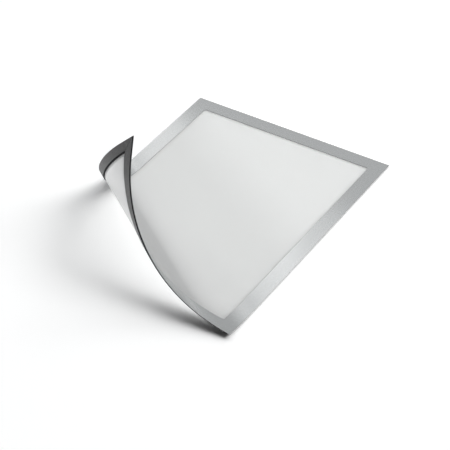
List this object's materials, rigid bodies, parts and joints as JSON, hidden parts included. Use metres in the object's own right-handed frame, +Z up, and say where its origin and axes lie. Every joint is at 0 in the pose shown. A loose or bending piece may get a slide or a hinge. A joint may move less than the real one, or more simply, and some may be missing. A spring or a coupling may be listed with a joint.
{
  "type": "magnetic display frame",
  "caption": "Flexible magnetic frame for one A4 sheet: silver border on clear film, magnet strips behind, lying flat with a corner peeled up and rolled over.",
  "frame": {"origin": "table height, under the middle of the frame's outer rectangle", "axes": "+X to the right along the short edges, +Y up the sheet towards the top edge, +Z up from the table through the window"},
  "size_m": [0.2362, 0.3228, 0.1154],
  "materials": {
    "silver_face": "metallised plastic sheet, satin, finely brushed",
    "clear_film": "clear film with a fine anti-glare frost",
    "magnet_rubber": "dark grey flexible magnet, matt, faintly ribbed",
    "adhesive_tape": "near-black tape, satin"
  },
  "bodies": {
    "root": {"silver_face_frame": "silver_face", "clear_window_film": "clear_film", "magnet_strip_top": "magnet_rubber", "magnet_strip_right": "magnet_rubber", "magnet_strip_bottom": "magnet_rubber", "magnet_strip_left": "magnet_rubber", "adhesive_strip_top": "adhesive_tape", "adhesive_strip_right": "adhesive_tape", "adhesive_strip_bottom": "adhesive_tape", "adhesive_strip_left": "adhesive_tape"}
  },
  "joints": []
}
